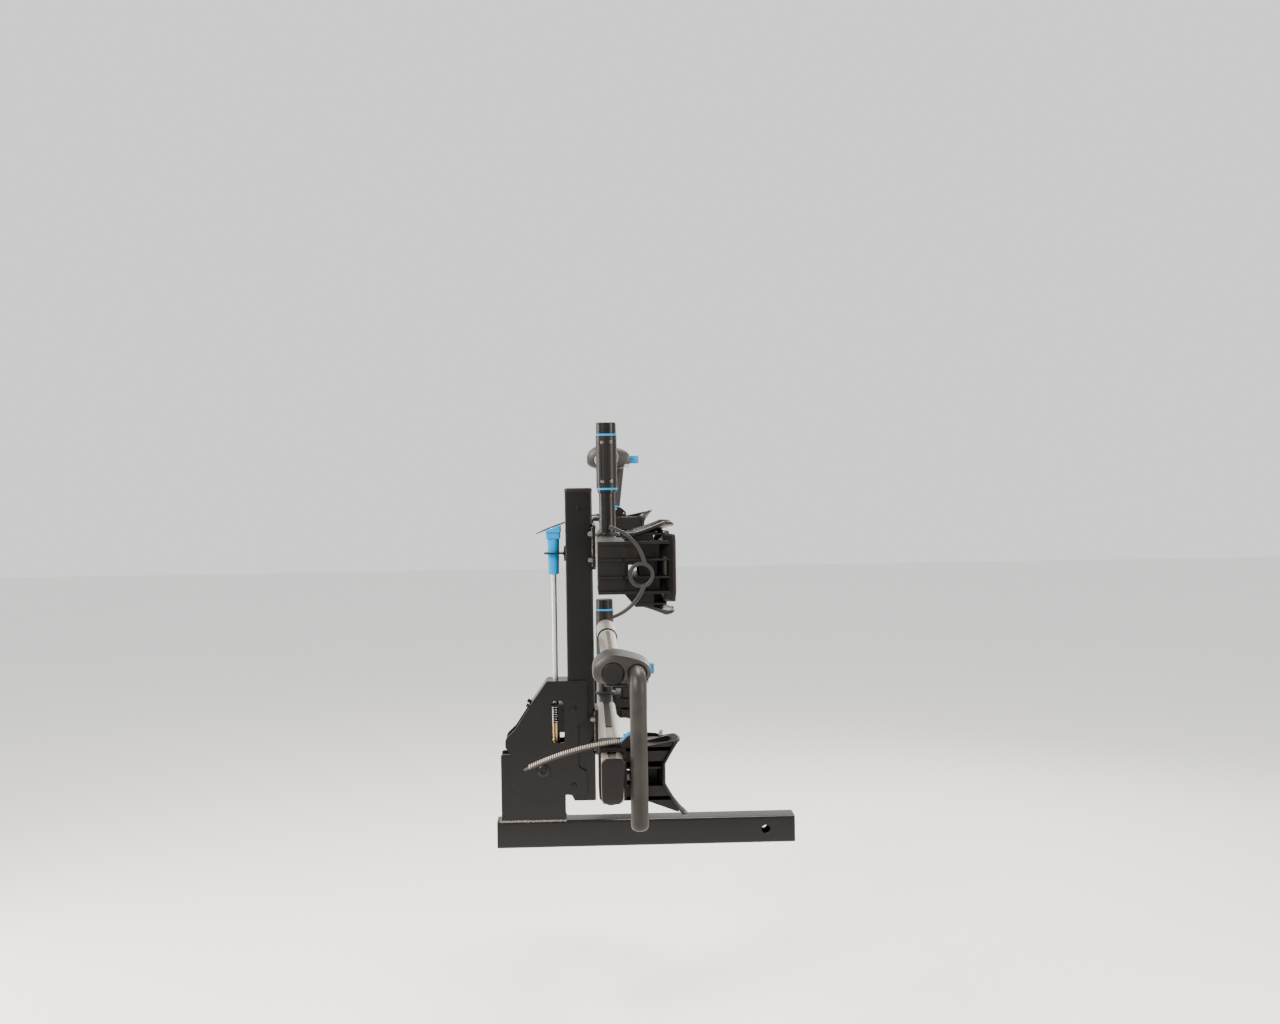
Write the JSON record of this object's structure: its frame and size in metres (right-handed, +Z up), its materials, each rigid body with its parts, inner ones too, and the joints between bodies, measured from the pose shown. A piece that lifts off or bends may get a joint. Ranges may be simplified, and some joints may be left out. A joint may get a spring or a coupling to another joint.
{
  "type": "hitch mounted bike rack",
  "caption": "Folding platform bike rack for a square receiver hitch, with swinging wheel arms over its trays.",
  "frame": {"origin": "centre of the hitch pin hole in the square bar", "axes": "+X forwards into the receiver, +Y to the car's left along the hitch pin, +Z up"},
  "size_m": [0.561, 1.235, 0.7889],
  "materials": {
    "powder_black": "semi-gloss powder coat",
    "plastic_black": "moulded, fine texture",
    "rubber_grey": "matt",
    "silver_anodised": "satin anodised, drawn lengthwise",
    "zinc_steel": "bright zinc plate",
    "brass": "turned",
    "accent_blue": "moulded, satin gloss"
  },
  "bodies": {
    "base": {"hitch_bar": "powder_black", "base_channel": "powder_black", "lock_sector": "powder_black", "pivot_bolt": "powder_black", "pivot_nut": "zinc_steel"},
    "mast": {"mast_tube": "powder_black", "mast_cap": "plastic_black", "bracket_plate_right": "powder_black", "bracket_plate_left": "powder_black", "bracket_webs": "powder_black", "mast_bolts": "powder_black", "pivot_bushes": "brass", "guide_plate": "powder_black", "release_spring": "zinc_steel", "beam_end_caps": "plastic_black", "tray_brackets": "powder_black", "tray_studs": "zinc_steel", "lower_front_beam": "powder_black", "lower_rear_beam": "silver_anodised", "lower_front_cradle": "plastic_black", "lower_tyre_strap": "rubber_grey", "lower_arm_post": "powder_black", "upper_front_beam": "powder_black", "upper_rear_beam": "silver_anodised", "upper_front_cradle": "plastic_black", "upper_tyre_strap": "rubber_grey", "upper_arm_post": "powder_black"},
    "release": {"lock_plunger": "brass", "release_rod": "zinc_steel", "release_grip": "accent_blue", "release_paddle": "accent_blue"},
    "lower_arm": {"lower_arm_sleeve": "plastic_black", "lower_sleeve_rings": "accent_blue", "lower_sleeve_screws": "zinc_steel", "lower_arm_outer_tube": "silver_anodised"},
    "lower_extension": {"lower_arm_inner_tube": "silver_anodised", "lower_arm_end_plug": "plastic_black", "lower_arm_head": "plastic_black", "lower_wheel_hook": "rubber_grey"},
    "lower_head_lever": {"lower_head_lever": "accent_blue"},
    "lower_holder": {"lower_rear_holder": "plastic_black", "lower_holder_knob": "plastic_black", "lower_ladder_strap": "rubber_grey", "lower_strap_buckle": "plastic_black"},
    "lower_buckle_lever": {"lower_buckle_lever": "accent_blue"},
    "upper_arm": {"upper_arm_sleeve": "plastic_black", "upper_sleeve_rings": "accent_blue", "upper_sleeve_screws": "zinc_steel", "upper_arm_outer_tube": "silver_anodised"},
    "upper_extension": {"upper_arm_inner_tube": "silver_anodised", "upper_arm_end_plug": "plastic_black", "upper_arm_head": "plastic_black", "upper_wheel_hook": "rubber_grey"},
    "upper_head_lever": {"upper_head_lever": "accent_blue"},
    "upper_holder": {"upper_rear_holder": "plastic_black", "upper_holder_knob": "plastic_black", "upper_ladder_strap": "rubber_grey", "upper_strap_buckle": "plastic_black"},
    "upper_buckle_lever": {"upper_buckle_lever": "accent_blue"}
  },
  "joints": [
    {"name": "fold", "type": "hinge", "parent": "base", "child": "mast", "pos_m": [-0.4176, 0, 0.1213], "axis": [0, -1, 0], "range_deg": [0, 90]},
    {"name": "release_slide", "type": "slide", "parent": "mast", "child": "release", "axis": [0, 0, 1], "range_m": [-0.012, 0.004], "stiffness_N_per_m": 3000, "springref_m": 0.001, "deforming": ["release_spring"]},
    {"name": "lower_arm_swing", "type": "hinge", "parent": "mast", "child": "lower_arm", "pos_m": [-0.295, 0.24, 0.358], "axis": [0, 0, 1], "range_deg": [0, 115]},
    {"name": "lower_arm_draw", "type": "slide", "parent": "lower_arm", "child": "lower_extension", "axis": [0, -1, 0], "range_m": [0, 0.1]},
    {"name": "lower_head_lever_turn", "type": "hinge", "parent": "lower_extension", "child": "lower_head_lever", "pos_m": [-0.237, -0.385, 0.358], "axis": [0, 0, 1], "range_deg": [0, 25], "stiffness_Nm_per_rad": 0.3},
    {"name": "lower_holder_slide", "type": "slide", "parent": "mast", "child": "lower_holder", "axis": [0, 1, 0], "range_m": [0, 0.13]},
    {"name": "lower_buckle_lever_turn", "type": "hinge", "parent": "lower_holder", "child": "lower_buckle_lever", "pos_m": [-0.265, -0.41, 0.2515], "axis": [0, 1, 0], "range_deg": [0, 60]},
    {"name": "upper_arm_swing", "type": "hinge", "parent": "mast", "child": "upper_arm", "pos_m": [-0.295, -0.24, 0.704], "axis": [0, 0, -1], "range_deg": [0, 115]},
    {"name": "upper_arm_draw", "type": "slide", "parent": "upper_arm", "child": "upper_extension", "axis": [0, 1, 0], "range_m": [0, 0.07]},
    {"name": "upper_head_lever_turn", "type": "hinge", "parent": "upper_extension", "child": "upper_head_lever", "pos_m": [-0.237, 0.417, 0.704], "axis": [0, 0, -1], "range_deg": [0, 25], "stiffness_Nm_per_rad": 0.3},
    {"name": "upper_holder_slide", "type": "slide", "parent": "mast", "child": "upper_holder", "axis": [0, -1, 0], "range_m": [0, 0.13]},
    {"name": "upper_buckle_lever_turn", "type": "hinge", "parent": "upper_holder", "child": "upper_buckle_lever", "pos_m": [-0.265, 0.41, 0.5975], "axis": [0, 1, 0], "range_deg": [0, 60]}
  ]
}
